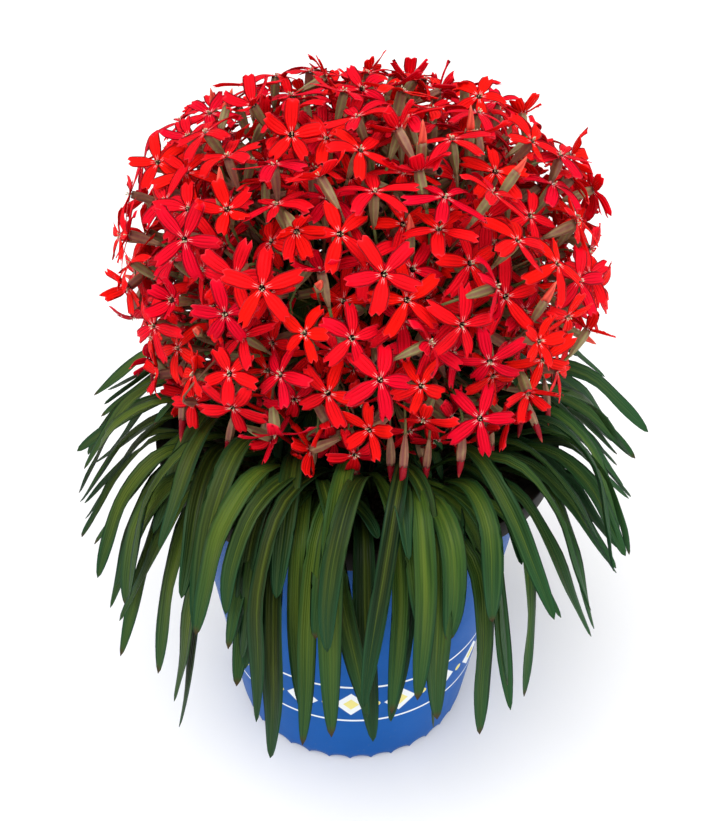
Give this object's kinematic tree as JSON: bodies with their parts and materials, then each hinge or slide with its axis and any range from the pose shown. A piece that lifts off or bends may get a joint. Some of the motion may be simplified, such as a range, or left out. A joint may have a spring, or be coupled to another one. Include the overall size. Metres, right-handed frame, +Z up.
{
  "type": "potted fire pink",
  "caption": "Mounded perennial with a dome of scarlet star-shaped blooms over a skirt of strap leaves, in a tapered round nursery pot.",
  "frame": {"origin": "middle of the pot's underside, where it stands", "axes": "+Z up, -Y towards the front of the plant as pictured, +X to its right"},
  "size_m": [0.322, 0.3204, 0.3989],
  "materials": {
    "pot": "gloss",
    "soil": "matte",
    "leaf": "satin",
    "petal": "satin"
  },
  "bodies": {
    "root": {"pot": "pot", "soil": "soil", "leaf_tuft_01": "leaf", "leaf_tuft_02": "leaf", "leaf_tuft_03": "leaf", "leaf_tuft_04": "leaf", "leaf_tuft_05": "leaf", "leaf_tuft_06": "leaf", "leaf_tuft_07": "leaf", "leaf_tuft_08": "leaf", "leaf_tuft_09": "leaf", "leaf_tuft_10": "leaf", "leaf_tuft_11": "leaf", "leaf_tuft_12": "leaf", "leaf_tuft_13": "leaf", "leaf_tuft_14": "leaf", "leaf_tuft_15": "leaf", "leaf_tuft_16": "leaf", "leaf_tuft_17": "leaf", "leaf_tuft_18": "leaf", "flower_spray_01": "petal", "flower_spray_02": "petal", "flower_spray_03": "petal", "flower_spray_04": "petal", "flower_spray_05": "petal", "flower_spray_06": "petal", "flower_spray_07": "petal", "flower_spray_08": "petal", "flower_spray_09": "petal", "flower_spray_10": "petal", "flower_spray_11": "petal", "flower_spray_12": "petal", "flower_spray_13": "petal", "flower_spray_14": "petal", "flower_spray_15": "petal", "flower_spray_16": "petal", "flower_spray_17": "petal", "flower_spray_18": "petal", "flower_spray_19": "petal", "flower_spray_20": "petal", "flower_spray_21": "petal", "flower_spray_22": "petal", "flower_spray_23": "petal", "flower_spray_24": "petal", "flower_spray_25": "petal", "flower_spray_26": "petal", "flower_spray_27": "petal", "flower_spray_28": "petal", "flower_spray_29": "petal", "flower_spray_30": "petal", "flower_spray_31": "petal", "flower_spray_32": "petal"}
  },
  "joints": []
}
